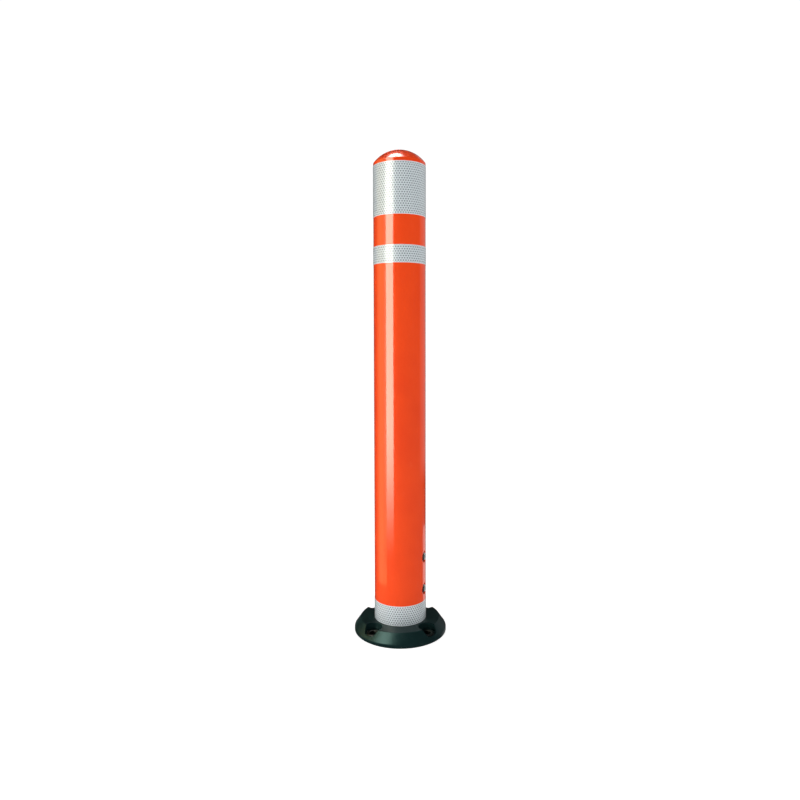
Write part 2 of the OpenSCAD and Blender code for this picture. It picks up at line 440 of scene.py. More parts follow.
# bare and blacked metals, with clouds of dulled metal
def steel(name, shade, rough, stain=0.3):
    f = Finish(name)
    fine = f.noise(0.35 * mm, 3, 0.6)
    cloud = f.between(f.noise(5 * mm, 4, 0.6), 0.35, 0.75)
    dull = tuple(c * 0.72 for c in shade)
    f.set(Base_Color=f.mix(cloud * stain, shade, dull), Metallic=1.0)
    return f.set(Roughness=rough + fine * 0.14 + cloud * 0.08, Normal=f.bump(fine, 0.02 * mm))


def zincPlate():
    f = Finish("zinc plate")
    spangle = f.noise(1.4 * mm, 1, 0.3)
    fine = f.noise(0.2 * mm, 2)
    body = f.mix(f.between(spangle, 0.4, 0.6), (0.50, 0.51, 0.53), (0.60, 0.61, 0.62))
    f.set(Base_Color=body, Metallic=0.9)
    return f.set(Roughness=0.36 + spangle * 0.16, Normal=f.bump(fine, 0.02 * mm))


def turnedBrass():
    f = Finish("turned brass")
    lathe = f.noise(0.3 * mm, 2, stretch=(1, 1, 6))
    stain = f.between(f.noise(3 * mm, 4), 0.4, 0.8)
    body = f.mix(stain * 0.4, (0.72, 0.50, 0.20), (0.45, 0.29, 0.11))
    f.set(Base_Color=body, Metallic=1.0)
    return f.set(Roughness=0.24 + lathe * 0.14 + stain * 0.1, Normal=f.bump(lathe, 0.015 * mm))


def mouldedNylon(name, light, dark, rough):
    f = Finish(name)
    grain = f.noise(0.5 * mm, 3)
    flow = f.noise(18 * mm, 3, 0.6)
    f.set(Base_Color=f.mix(f.between(flow, 0.3, 0.7), light, dark))
    return f.set(Roughness=rough + (grain - 0.5) * 0.2, Normal=f.bump(grain, 0.04 * mm))


# the single wires of the strands, laid the other way and drawn as fine slanting grooves
wires = {"round": 18, "slant": 2600, "relief": 0.10 * mm}


def ropeWire():
    f = Finish("rope wire")
    x, y, z = f.split(f.place())
    turn = f.maths("ARCTAN2", y, x)
    groove = f.maths("SINE", turn * wires["round"] - z * wires["slant"])
    grime = f.between(f.noise(2 * mm, 4), 0.4, 0.75)
    f.set(Base_Color=f.mix(grime * 0.7, (0.56, 0.57, 0.58), (0.20, 0.19, 0.18)), Metallic=0.95)
    return f.set(Roughness=0.34 + grime * 0.2, Normal=f.bump(groove, wires["relief"]))


finishes = {
    "post_orange": orangePlastic(),
    "base_rubber": blackRubber(),
    "bright_steel": steel("bright steel", (0.74, 0.74, 0.73), 0.16, 0.25),
    "bush_steel": steel("black passivated steel", (0.05, 0.056, 0.056), 0.26),
    "swaged_steel": steel("swaged steel", (0.55, 0.56, 0.57), 0.24),
    "spring_steel": steel("blacked spring steel", (0.11, 0.11, 0.12), 0.30),
    "plate_steel": zincPlate(),
    "rope_wire": ropeWire(),
    "insert_brass": turnedBrass(),
    "boss_nylon": mouldedNylon("natural nylon", (0.74, 0.72, 0.66), (0.66, 0.63, 0.56), 0.42),
    "carrier_nylon": mouldedNylon("black nylon", (0.020, 0.022, 0.024), (0.030, 0.032, 0.035), 0.48),
}
sheet = [sheetWall(), sheetCell(), sheetCore()]
print("finishes made")


# the rubber base: turned, then pocketed and bored, with every edge softened as a moulding's is
baseShape = {
    "edgeHeight": 5.5 * mm,
    "ringRadius": 61.5 * mm,
    "footEase": 0.8 * mm,
    "edgeEase": 2.4 * mm,
    "ringEase": 1.6 * mm,
    "anchorCircle": 57 * mm,
    "pocketRadius": 13.5 * mm,
    "pocketFloor": 9 * mm,
    "bushRadius": 8 * mm,
    "recessRadius": 32.2 * mm,
    "recessHeight": 8 * mm,
    "hubRadius": 13.05 * mm,
    "screwCircle": 23 * mm,
    "screwRadius": 3.2 * mm,
    "softEdge": 0.9 * mm,
}


def plateScrewSpots():
    return [around(baseShape["screwCircle"], turn) for turn in fullTurn(3, math.pi / 2)]


def makeBase():
    b = baseShape
    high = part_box("base_body")[1]
    outline = eased([
        (0, 0),
        (high.x, 0, b["footEase"]),
        (high.x, b["edgeHeight"], b["edgeEase"]),
        (b["ringRadius"], high.z, b["ringEase"]),
        (0, high.z),
    ], 6)
    piece = turned("rubberBase", outline, [finishes["base_rubber"]], 144)
    over = high.z + 2 * mm
    cutters = [rod(b["recessRadius"], -mm, b["recessHeight"], segments=96), rod(b["hubRadius"], -mm, over)]
    cutters += [rod(b["screwRadius"], -mm, over, spot, 32) for spot in plateScrewSpots()]
    for turn in fullTurn(4, math.pi / 4):
        spot = around(b["anchorCircle"], turn)
        cutters.append(rod(b["pocketRadius"], b["pocketFloor"], over, spot, 96))
        cutters.append(rod(b["bushRadius"], -mm, b["pocketFloor"] + mm, spot))
    carved(piece, cutters)
    softened(piece, b["softEdge"], 4, 32)
    showAs(piece, "base", "base_body")


# flanged sleeves in the anchor holes
bushShape = {
    "bore": 6 * mm,
    "sleeve": 7.95 * mm,
    "sleeveEase": 0.3 * mm,
    "underEase": 0.2 * mm,
    "flangeEase": 0.5 * mm,
    "mouthEase": 0.7 * mm,
}


def makeAnchorBushes():
    b = bushShape
    floor = baseShape["pocketFloor"]
    for k in range(1, 5):
        node = f"anchor_bush_{k}"
        low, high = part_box(node)
        middle = (low + high) / 2
        flange = (high.x - low.x) / 2
        outline = eased([
            (b["bore"], 0),
            (b["sleeve"], 0, b["sleeveEase"]),
            (b["sleeve"], floor),
            (flange, floor, b["underEase"]),
            (flange, high.z, b["flangeEase"]),
            (b["bore"], high.z, b["mouthEase"]),
            (b["bore"], floor / 2),
        ], 4)
        place = Matrix.Translation((middle.x, middle.y, 0))
        piece = turned(f"anchorBush{k}", outline, [finishes["bush_steel"]], 64, place=place)
        showAs(piece, "base", node)


# the tube, with a softened sunk seat round each side screw
tubeShape = {
    "wall": 5 * mm,
    "rimEdge": 0.6 * mm,
    "screwTurn": -20.0,
    "screwRows": (68 * mm, 118 * mm),
    "seatRadius": 8.5 * mm,
    "seatDepth": 3 * mm,
    "seatEdge": 0.7 * mm,
    "seatFoot": 0.4 * mm,
    "holeRadius": 3.5 * mm,
    "columns": 180,
    "ringsBetween": 4,
    "ringsAbove": 24,
    "patchColumns": 10,
    "patchHalf": 14 * mm,
    "patchShares": (0.7, 0.45, 0.25, 0.1, 0.0),
    "boreShares": (0.0, 0.2, 0.5),
}


def ringHeights(low, high):
    # heights of the tube's rings, close together beside the screws, each with its screw's height or None
    t = tubeShape
    half, reach = t["patchHalf"], t["patchColumns"]
    between, above = t["ringsBetween"], t["ringsAbove"]
    heights = []
    floor = low + t["rimEdge"]
    for row in t["screwRows"]:
        bottom = row - half
        heights += [(floor + (bottom - floor) * k / between, None) for k in range(between)]
        heights += [(bottom + half * k / reach, row) for k in range(2 * reach)]
        floor = row + half
    ceiling = high - t["rimEdge"]
    return heights + [(floor + (ceiling - floor) * k / above, None) for k in range(above + 1)]


def makeTube():
    t = tubeShape
    low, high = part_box("post_tube")
    outer = high.x
    inner = outer - t["wall"]
    columns, reach = t["columns"], t["patchColumns"]
    turns = fullTurn(columns, math.radians(t["screwTurn"]))
    heights = ringHeights(low.z, high.z)
    skin = Skin()

    def hoop(radius, height):
        return skin.ring([(*around(radius, a), height) for a in turns])

    walls = {}
    windows = {(k + side) % columns for side in (0, columns // 2) for k in range(-reach, reach)}
    for radius in (outer, inner):
        walls[radius] = [hoop(radius, z) for z, row in heights]
        for k in range(len(heights) - 1):
            skin.join(walls[radius][k], walls[radius][k + 1], skip=windows if heights[k][1] else ())

    # eased rims at the foot and the top
    edge = t["rimEdge"]
    for index, z, way in ((0, low.z, edge), (-1, high.z, -edge)):
        rings = [walls[outer][index]]
        rings += [hoop(outer - edge * (1 - math.cos(a)), z + way * (1 - math.sin(a))) for a in quarterTurn()]
        for a in reversed(quarterTurn()):
            rings.append(hoop(inner + edge * (1 - math.cos(a)), z + way * (1 - math.sin(a))))
        skin.joinAll(rings + [walls[inner][index]])

    for side in (0, 1):
        for row in t["screwRows"]:
            seatPatch(skin, walls, heights, side, row)
    piece = skin.piece("orangeTube", [finishes["post_orange"]], 38)
    showAs(piece, "post", "post_tube")


# the square of wall round one screw: rings run from the square's edge in to the sunk seat,
# down its hole and out again over the inner wall
def seatPatch(skin, walls, heights, side, row):
    t = tubeShape
    outer, inner = walls
    columns, reach = t["columns"], t["patchColumns"]
    middle = columns // 2 * side
    first = next(k for k, h in enumerate(heights) if h[1] == row)
    last = first + 2 * reach
    across = range(-reach, reach + 1)
    upward = range(first + 1, last)
    rim = [(k, first) for k in across] + [(reach, j) for j in upward]
    rim += [(k, last) for k in reversed(across)] + [(-reach, j) for j in reversed(upward)]

    turn = math.radians(t["screwTurn"] + 180 * side)
    out = Vector((*around(1, turn), 0))
    along = Vector((-out.y, out.x, 0))
    up = Vector((0, 0, 1))

    def square(radius):
        return [Vector((radius * math.sin(2 * math.pi / columns * k), heights[j][0] - row)) for k, j in rim]

    def edgeRing(radius):
        return [walls[radius][j][(middle + k) % columns] for k, j in rim]

    def ring(flat, depth):
        # flat gives the place across and up, depth how far out from the axis
        return skin.ring([out * depth(p.x) + along * p.x + up * (row + p.y) for p in flat])

    def circle(radius, edge):
        return [p.normalized() * radius for p in edge]

    def blended(radius, edge, share):
        return [c.lerp(e, share) for c, e in zip(circle(radius, edge), edge)]

    def onWall(radius):
        return lambda s: math.sqrt(radius * radius - s * s)

    edge, inside = square(outer), square(inner)
    seat, soft, foot = t["seatRadius"], t["seatEdge"], t["seatFoot"]
    floor = outer - t["seatDepth"]
    loops = [edgeRing(outer)]
    loops += [ring(blended(seat + soft, edge, share), onWall(outer)) for share in t["patchShares"]]
    for a in quarterTurn():
        drop = soft * (1 - math.cos(a))
        flat = circle(seat + soft * (1 - math.sin(a)), edge)
        loops.append(ring(flat, lambda s, drop=drop: onWall(outer)(s) - drop))
    for a in [0] + quarterTurn(3):
        flat = circle(seat - foot * (1 - math.cos(a)), edge)
        loops.append(ring(flat, lambda s, a=a: floor + foot * (1 - math.sin(a))))
    loops.append(ring(circle(t["holeRadius"], edge), lambda s: floor))
    loops += [ring(blended(t["holeRadius"], inside, share), onWall(inner)) for share in t["boreShares"]]
    loops.append(edgeRing(inner))
    skin.joinAll(loops)


# the domed cap: a thin lip, a part-sphere top and a hollow plug
capShape = {
    "domeRadius": 50 * mm,
    "domeShare": 0.97,
    "wall": 3.5 * mm,
    "lip": 2 * mm,
    "plugWall": 4 * mm,
    "plugGap": 0.05 * mm,
    "rimEase": 0.8 * mm,
    "lipEase": 0.3 * mm,
    "plugEase": 0.5 * mm,
    "domeRings": 27,
    "hollowRings": 12,
}


def makeCap():
    c = capShape
    low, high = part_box("top_cap")
    centre = high.z - c["domeRadius"]
    under = c["domeRadius"] - c["wall"]

    def onSphere(radius, angle):
        return radius * math.sin(angle), centre + radius * math.cos(angle)

    rimAngle = math.asin(high.x / c["domeRadius"])
    rimHeight = onSphere(c["domeRadius"], rimAngle)[1]
    lipHeight = rimHeight - c["lip"]
    plug = high.x - tubeShape["wall"] - c["plugGap"]
    bore = high.x - tubeShape["wall"] - c["plugWall"]
    # the dome stops short of its rim, to leave room for the rim's own rounding
    reach = rimAngle * c["domeShare"]
    dome = [onSphere(c["domeRadius"], reach * k / c["domeRings"]) for k in range(c["domeRings"] + 1)]
    rim = eased([
        dome[-1],
        (high.x, rimHeight, c["rimEase"]),
        (high.x, lipHeight, c["lipEase"]),
        (plug, lipHeight),
        (plug, low.z, c["plugEase"]),
        (bore, low.z),
    ])
    rings = c["hollowRings"]
    hollow = [onSphere(under, math.asin(bore / under) * (1 - k / rings)) for k in range(rings + 1)]
    piece = turned("domedCap", dome[:-1] + rim + hollow, [finishes["post_orange"]], 128, 38)
    showAs(piece, "post", "top_cap")


# reflective sheet: honeycomb cells under a film, wrapped once round the tube with a lap at the back
bandShape = {
    "cellsRound": 66,
    "lap": 6 * mm,
    "lapTaper": 5 * mm,
    "lapStep": 0.14 * mm,
    "lapGap": 0.02 * mm,
    "border": 0.7 * mm,
    "wallShare": 0.15,
    "slopeShare": 0.21,
    "coreShare": 0.60,
    "cellDepth": 0.03 * mm,
    "slip": 0.01 * mm,
}


def clipped(points, axis, low, high):
    # the part of a polygon between two straight lines
    for sign, limit in ((-1, low), (1, high)):
        kept = []
        for k, here in enumerate(points):
            before = points[k - 1]
            a, b = sign * (limit - before[axis]), sign * (limit - here[axis])
            if (a < 0) != (b < 0) and a != b:
                kept.append(before.lerp(here, a / (a - b)))
            if b >= 0:
                kept.append(here)
        points = [p for k, p in enumerate(kept) if (p - kept[k - 1]).length > bandShape["slip"]]
        if len(points) < 3:
            return []
    return points


def honeycomb(length, pitch, low, high):
    # hexagons point up, in rows about the middle height, cut off at the sheet's two ends
    corner = pitch / math.sqrt(3)
    rowPitch = 1.5 * corner
    rows = int((high - low) / rowPitch) + 3
    for row in range(-rows // 2, rows // 2 + 1):
        for column in range(-1, int(length / pitch) + 2):
            centre = Vector(((column + 0.5 * (row % 2)) * pitch, (low + high) / 2 + row * rowPitch))
            cell = [centre + Vector(around(corner, turn)) for turn in fullTurn(6, math.pi / 6)]
            cell = clipped(cell, 0, 0, length)
            if cell:
                yield cell


def makeBand(name, node):
    b = bandShape
    low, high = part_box(node)
    face = high.x
    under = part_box("post_tube")[1].x
    usual = face - b["lapStep"]
    length = 2 * math.pi * face + b["lap"]
    pitch = 2 * math.pi * face / b["cellsRound"]
    skin = Skin()
    edges = {}

    def wrapped(p, depth):
        # depth is counted down from the face, and None is the back; the far end climbs on to the near one
        share = min(1, max(0, (p.x - length + b["lap"] + b["lapTaper"]) / b["lapTaper"]))
        outside = usual + (face - usual) * share
        inside = under + (usual + b["lapGap"] - under) * share
        radius = inside if depth is None else outside - depth
        return (*around(radius, math.pi / 2 + p.x / face), p.y)

    def key(p):
        return round(p.x / b["slip"]), round(p.y / b["slip"])

    def addCell(shape, plain):
        middle = sum(shape, Vector((0, 0))) / len(shape)
        outer = skin.ring([wrapped(p, 0) for p in shape])
        back = skin.ring([wrapped(p, None) for p in shape])
        skin.face(back)
        for k in range(len(shape)):
            n = (k + 1) % len(shape)
            side = tuple(sorted((key(shape[k]), key(shape[n]))))
            edges.setdefault(side, []).append((outer[k], outer[n], back[n], back[k]))
        if plain:
            skin.face(outer)
            return
        last = outer
        pressed = b["cellDepth"]
        steps = ((b["wallShare"], 0, 0), (b["slopeShare"], pressed, 0), (b["coreShare"], pressed, 1))
        for share, depth, kind in steps:
            ring = skin.ring([wrapped(p.lerp(middle, share), depth) for p in shape])
            skin.join(last, ring, kind)
            last = ring
        skin.face(last, 2)

    # the sheet's plain borders lie below and above its cells
    limits = (low.z, low.z + b["border"], high.z - b["border"], high.z)
    for cell in honeycomb(length, pitch, low.z, high.z):
        for bottom, top, plain in zip(limits, limits[1:], (True, False, True)):
            part = clipped(cell, 1, bottom, top)
            if part:
                addCell(part, plain)
    # an edge that only one cell has is the sheet's own edge
    for quads in edges.values():
        if len(quads) == 1:
            skin.face(quads[0])
    piece = skin.piece(name, sheet, 40)
    showAs(piece, "post", node)


# side screws and washers: made upright about Z, then laid along the screw's own direction
washerShape = {
    "bore": 3.2 * mm,
    "radius": 7 * mm,
    "thickness": 1 * mm,
    "ease": 0.3 * mm,
    "footEase": 0.15 * mm,
}
screwShape = {
    "headRadius": 6.5 * mm,
    "headHeight": 2.9 * mm,
    "headShares": (0.98, 0.72),
    "headEases": (0.25 * mm, 0.9 * mm, 2.0 * mm),
    "shankRadius": 3 * mm,
    "shankLength": 10 * mm,
    "tip": 0.6 * mm,
    "taper": 0.9 * mm,
    "threadPitch": 1 * mm,
    "threadDepth": 0.45 * mm,
    "crossLength": 7.2 * mm,
    "crossWidth": 1.9 * mm,
    "crossDepth": 2.0 * mm,
    "softEdge": 0.12 * mm,
}


def threadedOutline(start, end):
    # a screw's flank from start to end, as V grooves one pitch apart
    s = screwShape
    pitch, crest = s["threadPitch"], s["shankRadius"]
    root = crest - s["threadDepth"]
    outline = [(root, start)]
    for k in range(int((end - start) / pitch)):
        outline += [(crest, start + (k + 0.5) * pitch), (root, start + (k + 1) * pitch)]
    return outline


def crossCutters(face, shape, place):
    # two tapered slots at right angles, open at the head's face
    length, width = shape["crossLength"], shape["crossWidth"]
    cutters = []
    for turn in (45, 135):
        skin = Skin()
        rings = []
        for z, share in ((face + 0.6 * mm, 1.12), (face, 1.0), (face - shape["crossDepth"], 0.42)):
            x, y = length / 2 * share, width / 2 * (0.55 + 0.45 * share)
            rings.append(skin.ring([(-x, -y, z), (x, -y, z), (x, y, z), (-x, y, z)]))
        skin.joinAll(rings, capped=True)
        cutter = skin.piece("cutter", [])
        cutter.data.transform(place @ Matrix.Rotation(math.radians(turn), 4, "Z"))
        cutters.append(cutter)
    return cutters


def screwPlace(k):
    # where side screw k sits: Z turned to point straight out of the post
    t = tubeShape
    turn = math.radians(t["screwTurn"] + 180 * ((k - 1) % 2))
    height = t["screwRows"][(k - 1) // 2]
    upright = Matrix.Rotation(turn, 4, "Z") @ Matrix.Rotation(math.radians(90), 4, "Y")
    return Matrix.Translation((0, 0, height)) @ upright


def makeSideScrews():
    s, w = screwShape, washerShape
    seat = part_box("post_tube")[1].x - tubeShape["seatDepth"]
    under = seat + w["thickness"]
    top = under + s["headHeight"]
    end = under - s["shankLength"]
    washer = eased([
        (w["bore"], seat),
        (w["radius"], seat, w["footEase"]),
        (w["radius"], under, w["ease"]),
        (w["bore"], under, w["ease"]),
        (w["bore"], (seat + under) / 2),
    ], 4)
    flankShare, faceShare = s["headShares"]
    footEase, flankEase, faceEase = s["headEases"]
    head = eased([
        (s["shankRadius"], under),
        (s["headRadius"], under, footEase),
        (s["headRadius"] * flankShare, (under + top) / 2, flankEase),
        (s["headRadius"] * faceShare, top, faceEase),
        (0, top),
    ], 6)
    shank = [(0, end), (s["shankRadius"] - s["taper"], end)] + threadedOutline(end + s["tip"], under - mm)
    steelOnly = [finishes["bright_steel"]]
    for k in range(1, 5):
        place = screwPlace(k)
        piece = turned(f"sideWasher{k}", washer, steelOnly, 72, place=place)
        showAs(piece, "post", f"side_washer_{k}")
        piece = turned(f"sideScrew{k}", shank + head, steelOnly, 72, place=place)
        carved(piece, crossCutters(top, s, place))
        softened(piece, s["softEdge"], 2, 35)
        showAs(piece, "post", f"side_screw_{k}")


# wire rope: six strands laid round a core
ropeShape = {
    "strands": 6,
    "strandRadius": 0.98 * mm,
    "circle": 2.0 * mm,
    "lay": 38 * mm,
    "ringEvery": 1.2 * mm,
    "sides": 10,
    "travel": 57 * mm,
}


def makeRope(name, low, high):
    r = ropeShape
    skin = Skin()
    steps = round((high - low) / r["ringEvery"])
    for strand in range(r["strands"] + 1):
        circle = 0 if strand == r["strands"] else r["circle"]
        rings = []
        for k in range(steps + 1):
            z = low + (high - low) * k / steps
            x, y = around(circle, 2 * math.pi * (z / r["lay"] + strand / r["strands"]))
            spokes = [around(r["strandRadius"], a) for a in fullTurn(r["sides"])]
            rings.append(skin.ring([(x + across, y + along, z) for across, along in spokes]))
        skin.joinAll(rings, capped=True)
    return skin.piece(name, [finishes["rope_wire"]], 50)


def makeRopes():
    # the lower piece bends from the plate's hub to the guide; the upper one gathers above the guide
    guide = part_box("rope_guide")[1].z
    lower = makeRope("lowerRope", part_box("wire_rope")[0].z, guide)
    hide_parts("wire_rope")
    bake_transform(lower)
    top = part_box("rope_tail")[1].z
    upper = makeRope("upperRope", guide, top)
    showAs(upper, "retainer", "rope_tail")
    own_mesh(upper)


# the return spring, one swept wire with closed, ground ends
springShape = {
    "wireRadius": 2.5 * mm,
    "coilRadius": 19.5 * mm,
    "turns": 9,
    "stepsPerTurn": 40,
    "sides": 14,
    "closedPitch": 0.96,  # of the wire's own thickness
    "ground": 0.7 * mm,
    "travel": 57.3 * mm,  # the retainer's own and a little more, which keeps the last coil off its face
}


def makeSpring():
    s = springShape
    low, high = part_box("return_spring")
    wire, turns = s["wireRadius"], s["turns"]
    rise = high.z - low.z - 2 * wire
    ends = 2 * wire * s["closedPitch"]
    pitch = (rise - 2 * ends) / (turns - 2)
    skin = Skin()
    rings = []
    for k in range(turns * s["stepsPerTurn"] + 1):
        turn = k / s["stepsPerTurn"]
        if turn < 1:
            climb = ends * turn
        elif turn > turns - 1:
            climb = rise - ends * (turns - turn)
        else:
            climb = ends + pitch * (turn - 1)
        # the wire sinks a little at each end, where the grinding takes it off level
        sink = s["ground"] * (max(0, 1 - turn) - max(0, 1 - (turns - turn)))
        ring = []
        for across, up in [around(wire, a) for a in fullTurn(s["sides"])]:
            z = low.z + wire + climb - sink + up
            ring.append((*around(s["coilRadius"] + across, 2 * math.pi * turn), min(high.z, max(low.z, z))))
        rings.append(skin.ring(ring))
    skin.joinAll(rings, capped=True)
    piece = skin.piece("returnSpring", [finishes["spring_steel"]], 50)
    showAs(piece, "post", "return_spring")
    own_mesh(piece)


# the steel plate under the base, with a hub that holds the rope's end
plateShape = {
    "thickness": 6 * mm,
    "ropeBore": 3.3 * mm,
    "socketRadius": 6.4 * mm,
    "socketTop": 10 * mm,
    "hubRadius": 13 * mm,
    "ease": 0.4 * mm,
    "coneWide": 6.9 * mm,
    "coneDepth": 3.1 * mm,
    "softEdge": 0.2 * mm,
}


def makeAnchorPlate():
    p = plateShape
    low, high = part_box("anchor_plate")
    face = low.z + p["thickness"]
    ease = p["ease"]
    outline = eased([
        (p["ropeBore"], p["socketTop"]),
        (p["socketRadius"], p["socketTop"]),
        (p["socketRadius"], low.z, ease),
        (high.x, low.z, ease),
        (high.x, face, ease),
        (p["hubRadius"], face, ease),
        (p["hubRadius"], high.z, ease),
        (p["ropeBore"], high.z, ease),
        (p["ropeBore"], p["socketTop"] + mm),
    ], 3)
    piece = turned("anchorPlate", outline, [finishes["plate_steel"]], 120)
    narrow = baseShape["screwRadius"]
    cone = [
        (0, low.z - mm),
        (p["coneWide"], low.z - 0.6 * mm),
        (narrow, low.z + p["coneDepth"]),
        (narrow, face + mm),
        (0, face + mm),
    ]
    places = [Matrix.Translation((*spot, 0)) for spot in plateScrewSpots()]
    carved(piece, [turned("cutter", cone, [], 48, place=place) for place in places])
    softened(piece, p["softEdge"], 2, 30)
    showAs(piece, "base", "anchor_plate")


# countersunk screws through the plate and base into the boss
plateScrewShape = {
    "rim": 0.2 * mm,
    "headHeight": 3 * mm,
    "threadStart": 4 * mm,
    "threadStop": 1.2 * mm,
    "tipTaper": 1 * mm,
    "crossLength": 6.4 * mm,
    "crossWidth": 1.5 * mm,
    "crossDepth": 1.8 * mm,
    "softEdge": 0.1 * mm,
}


def makePlateScrews():
    s = plateScrewShape
    radius = screwShape["shankRadius"]
    for k, (x, y) in enumerate(plateScrewSpots(), 1):
        node = f"plate_screw_{k}"
        low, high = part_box(node)
        outline = [
            (0, low.z),
            (2 * radius - s["rim"], low.z),
            (2 * radius, low.z + s["rim"]),
            (radius, low.z + s["headHeight"]),
        ]
        outline += threadedOutline(low.z + s["threadStart"], high.z - s["threadStop"])
        outline += [(radius - s["tipTaper"], high.z), (0, high.z)]
        place = Matrix.Translation((x, y, 0))
        piece = turned(f"plateScrew{k}", outline, [finishes["bright_steel"]], 48, place=place)
        below = Matrix.Translation((x, y, low.z)) @ Matrix.Rotation(math.pi, 4, "X")
        carved(piece, crossCutters(0, s, below))
        softened(piece, s["softEdge"], 1, 35)
        showAs(piece, "base", node)


# the nylon cone that centres the tube's foot
bossShape = {
    "bore": 4.5 * mm,
    "spigot": 12.95 * mm,
    "rimEase": 0.3 * mm,
    "slope": 4 * mm,
    "topEase": 1.5 * mm,
    "mouth": 9 * mm,
    "mouthEase": 1.6 * mm,
    "throat": 2 * mm,
    "throatEase": 3 * mm,
    "screwHole": 3.05 * mm,
    "screwDepth": 5.5 * mm,
    "softEdge": 0.25 * mm,
}


def makeBoss():
    b = bossShape
    low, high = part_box("centring_boss")
    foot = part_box("base_body")[1].z
    outline = eased([
        (b["bore"], low.z),
        (b["spigot"], low.z),
        (b["spigot"], foot),
        (high.x, foot, b["rimEase"]),
        (high.x - b["slope"], high.z, b["topEase"]),
        (b["mouth"], high.z, b["mouthEase"]),
        (b["bore"], foot + b["throat"], b["throatEase"]),
        (b["bore"], low.z),
    ], 5)[:-1]
    piece = turned("centringBoss", outline, [finishes["boss_nylon"]], 120)
    bottom, top = low.z - 5 * mm, foot + b["screwDepth"]
    carved(piece, [rod(b["screwHole"], bottom, top, spot, 32) for spot in plateScrewSpots()])
    softened(piece, b["softEdge"], 2, 35)
    showAs(piece, "base", "centring_boss")


# a sleeve pressed on the rope, waisted where the dies closed on it
sleeveShape = {
    "bore": 3.05 * mm,
    "ease": 0.5 * mm,
    "edgeEase": 0.3 * mm,
    "markHalf": 0.9 * mm,
    "markDepth": 0.5 * mm,
    "markEase": 0.4 * mm,
}


def makeSwagedSleeve(name, node, body, marks):
    s = sleeveShape
    low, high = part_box(node)
    outer = high.x
    flank = [(outer, low.z, s["ease"])]
    for k in range(1, marks):
        z = low.z + (high.z - low.z) / marks * k
        flank += [
            (outer, z - s["markHalf"], s["edgeEase"]),
            (outer - s["markDepth"], z, s["markEase"]),
            (outer, z + s["markHalf"], s["edgeEase"]),
        ]
    flank.append((outer, high.z, s["ease"]))
    bore = [(s["bore"], high.z, s["edgeEase"]), (s["bore"], low.z + s["ease"])]
    outline = eased([(s["bore"], low.z)] + flank + bore, 3)
    piece = turned(name, outline, [finishes["swaged_steel"]], 64)
    showAs(piece, body, node)


# the nylon housing of the spring: collars reach out to the tube at its foot, its screws and its top
carrierShape = {
    "sleeveRadius": 28.5 * mm,
    "boreRadius": 25 * mm,
    "guideBore": 8 * mm,
    "floorThickness": 8 * mm,
    "footCollar": 12 * mm,
    "screwCollar": 10 * mm,
    "topCollar": 10 * mm,
    "ease": 0.6 * mm,
    "hollowEase": 1.2 * mm,
    "guideEase": 0.3 * mm,
    "softEdge": 0.3 * mm,
}


def makeCarrier():
    c = carrierShape
    low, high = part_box("spring_carrier")
    wide, sleeve, bore, narrow = high.x, c["sleeveRadius"], c["boreRadius"], c["guideBore"]
    ease, inward = c["ease"], c["hollowEase"]
    floor = low.z + c["floorThickness"]
    start = (narrow, (low.z + floor) / 2)
    corners = [start, (narrow, low.z, ease), (wide, low.z, ease), (wide, low.z + c["footCollar"], ease)]
    collars = [(row - c["screwCollar"], row + c["screwCollar"]) for row in tubeShape["screwRows"]]
    collars.append((high.z - c["topCollar"], high.z))
    for bottom, top in collars:
        corners += [
            (sleeve, corners[-1][1], inward),
            (sleeve, bottom, inward),
            (wide, bottom, ease),
            (wide, top, ease),
        ]
    corners += [(bore, high.z, ease), (bore, floor, inward), (narrow, floor, c["guideEase"]), start]
    piece = turned("springCarrier", eased(corners, 3)[:-1], [finishes["carrier_nylon"]], 144)
    hole, start, end = insertShape["radius"], insertShape["start"], wide + 5 * mm
    cutter = [(0, start), (hole, start), (hole, end), (0, end)]
    carved(piece, [turned("cutter", cutter, [], 48, place=screwPlace(k)) for k in range(1, 5)])
    softened(piece, c["softEdge"], 2, 35)
    showAs(piece, "post", "spring_carrier")


# brass inserts that the side screws turn into, grooved round so that the nylon grips them
insertShape = {
    "radius": 5.05 * mm,
    "gap": 0.05 * mm,
    "start": 27 * mm,
    "stopGap": 0.6 * mm,
    "bore": 3.05 * mm,
    "mouth": 3.4 * mm,
    "chamfer": 0.3 * mm,
    "lead": 0.5 * mm,
    "grooves": (0.3, 0.62),
    "grooveDepth": 0.4 * mm,
}


def makeInserts():
    s = insertShape
    inner, lead = s["start"], s["lead"]
    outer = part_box("post_tube")[1].x - tubeShape["wall"] - s["stopGap"]
    radius = s["radius"] - s["gap"]
    outline = [(s["bore"], inner), (radius - s["chamfer"], inner), (radius, inner + lead)]
    for share in s["grooves"]:
        middle = inner + (outer - inner) * share
        outline += [(radius, middle - lead), (radius - s["grooveDepth"], middle), (radius, middle + lead)]
    outline += [(radius, outer - lead), (radius - s["chamfer"], outer)]
    outline += [(s["mouth"], outer), (s["bore"], outer - lead)]
    for k in range(1, 5):
        piece = turned(f"threadedInsert{k}", outline, [finishes["insert_brass"]], 48, place=screwPlace(k))
        showAs(piece, "post", f"threaded_insert_{k}")


# the bush that the rope runs through, its mouth belled downwards
guideShape = {"bore": 3.4 * mm, "mouth": 4.5 * mm, "chamfer": 0.3 * mm, "topChamfer": 0.2 * mm, "rings": 12}


